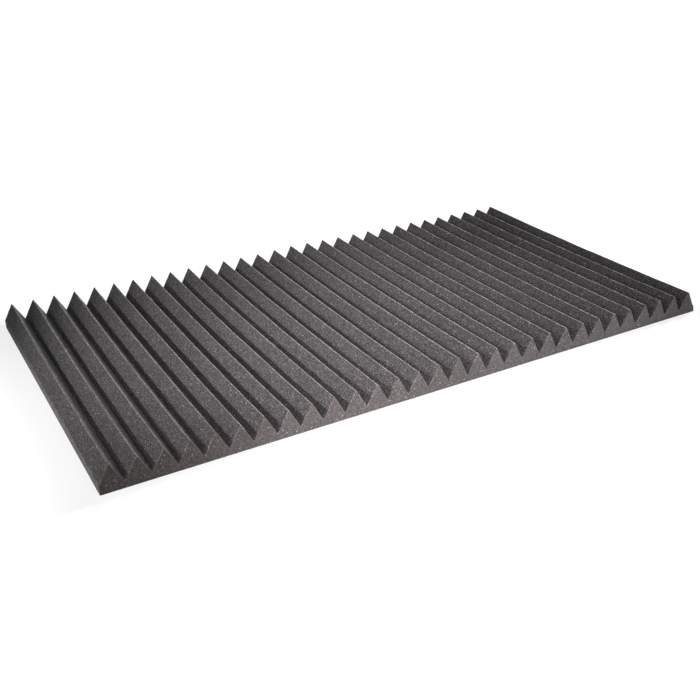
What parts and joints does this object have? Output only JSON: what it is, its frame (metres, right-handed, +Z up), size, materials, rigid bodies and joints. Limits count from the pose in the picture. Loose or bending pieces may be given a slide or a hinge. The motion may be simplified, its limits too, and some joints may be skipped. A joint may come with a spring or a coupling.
{
  "type": "acoustic foam panel",
  "caption": "Rectangular slab of open-cell acoustic foam, flat on its back and cut into straight parallel wedges on its upper side, for absorbing sound on a wall or ceiling.",
  "frame": {"origin": "middle of the flat back, which the panel lies on with its wedges up", "axes": "+X along the panel's length, across the wedges; +Y along its width, in the direction of the wedges; +Z up, out of the back towards the crests"},
  "size_m": [1.2, 0.615, 0.047],
  "materials": {
    "foam": "matt open-cell foam with a fine sparkle from the cell walls"
  },
  "bodies": {
    "root": {"foam_panel": "foam"}
  },
  "joints": []
}
